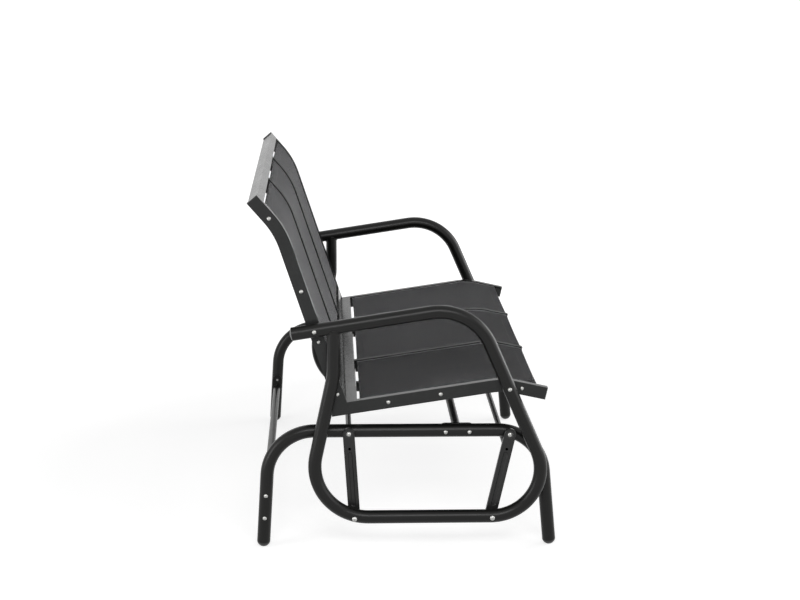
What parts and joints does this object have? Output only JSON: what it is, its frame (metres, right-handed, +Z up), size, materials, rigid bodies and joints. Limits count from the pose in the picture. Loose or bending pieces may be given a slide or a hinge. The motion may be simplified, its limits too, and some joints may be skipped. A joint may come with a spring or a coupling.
{
  "type": "swing bench",
  "caption": "Patio glider bench: bent-tube base, hanging links and a seat unit with armrest side frames and a slung mesh seat and back that sways fore and aft.",
  "frame": {"origin": "on the floor, at the centre of the bench's plan", "axes": "+X across the width to the sitter's left, -Y to the front, +Z up"},
  "size_m": [1.1272, 0.7396, 0.8678],
  "materials": {
    "tube_coat": "satin black powder coat",
    "rail_coat": "matte black powder coat",
    "link_coat": "satin black powder coat",
    "sling_mesh": "woven coated mesh",
    "hem_rod": "extruded",
    "dark_fastener": "black zinc",
    "zinc_fastener": "zinc plated",
    "bush_plastic": "moulded",
    "cap_plastic": "moulded"
  },
  "bodies": {
    "base": {"base_crossbar_bolts": "zinc_fastener", "base_crossbar_nuts": "dark_fastener", "base_front_crossbar": "tube_coat", "base_rear_crossbar": "tube_coat", "left_base_frame": "tube_coat", "left_front_foot": "cap_plastic", "left_rear_foot": "cap_plastic", "right_base_frame": "tube_coat", "right_front_foot": "cap_plastic", "right_rear_foot": "cap_plastic", "upper_pivot_bolts": "zinc_fastener", "upper_pivot_nuts": "dark_fastener"},
    "rear_links": {"left_rear_link": "link_coat", "rear_link_bushes": "bush_plastic", "rear_tie_rod": "tube_coat", "right_rear_link": "link_coat"},
    "front_links": {"front_link_bushes": "bush_plastic", "front_tie_rod": "tube_coat", "left_front_link": "link_coat", "right_front_link": "link_coat"},
    "seat": {"back_high_spreader": "tube_coat", "back_low_bar": "rail_coat", "back_low_spreader": "tube_coat", "back_middle_spreader": "tube_coat", "back_rail_bolts": "zinc_fastener", "back_sling_rods": "hem_rod", "back_top_bar": "rail_coat", "frame_bolts": "zinc_fastener", "frame_nuts": "dark_fastener", "left_arm_plug": "cap_plastic", "left_back_rail": "rail_coat", "left_back_sling": "sling_mesh", "left_inner_back_rail": "rail_coat", "left_inner_seat_rail": "rail_coat", "left_seat_rail": "rail_coat", "left_seat_sling": "sling_mesh", "left_side_frame": "tube_coat", "lower_pivot_bolts": "zinc_fastener", "lower_pivot_nuts": "dark_fastener", "middle_back_sling": "sling_mesh", "middle_seat_sling": "sling_mesh", "rail_end_caps": "cap_plastic", "right_arm_plug": "cap_plastic", "right_back_rail": "rail_coat", "right_back_sling": "sling_mesh", "right_inner_back_rail": "rail_coat", "right_inner_seat_rail": "rail_coat", "right_seat_rail": "rail_coat", "right_seat_sling": "sling_mesh", "right_side_frame": "tube_coat", "seat_front_spreader": "tube_coat", "seat_middle_spreader": "tube_coat", "seat_rail_bolts": "zinc_fastener", "seat_rear_bar": "rail_coat", "seat_rear_spreader": "tube_coat", "seat_sling_rods": "hem_rod"}
  },
  "joints": [
    {"name": "rear_link_swing", "type": "hinge", "parent": "base", "child": "rear_links", "pos_m": [0, 0.136, 0.291], "axis": [1, 0, 0], "range_deg": [-15, 15]},
    {"name": "front_link_swing", "type": "hinge", "parent": "base", "child": "front_links", "pos_m": [0, -0.25, 0.28735], "axis": [1, 0, 0], "range_deg": [-15.4, 15.4]},
    {"name": "seat_sway", "type": "hinge", "parent": "rear_links", "child": "seat", "pos_m": [0, 0.122, 0.09], "axis": [1, 0, 0], "range_deg": [-17.7, 17.7]}
  ],
  "couplings": [
    {"joint": "front_link_swing", "follows": "rear_link_swing", "ratio": 1.02},
    {"joint": "seat_sway", "follows": "rear_link_swing", "ratio": -1.17}
  ]
}
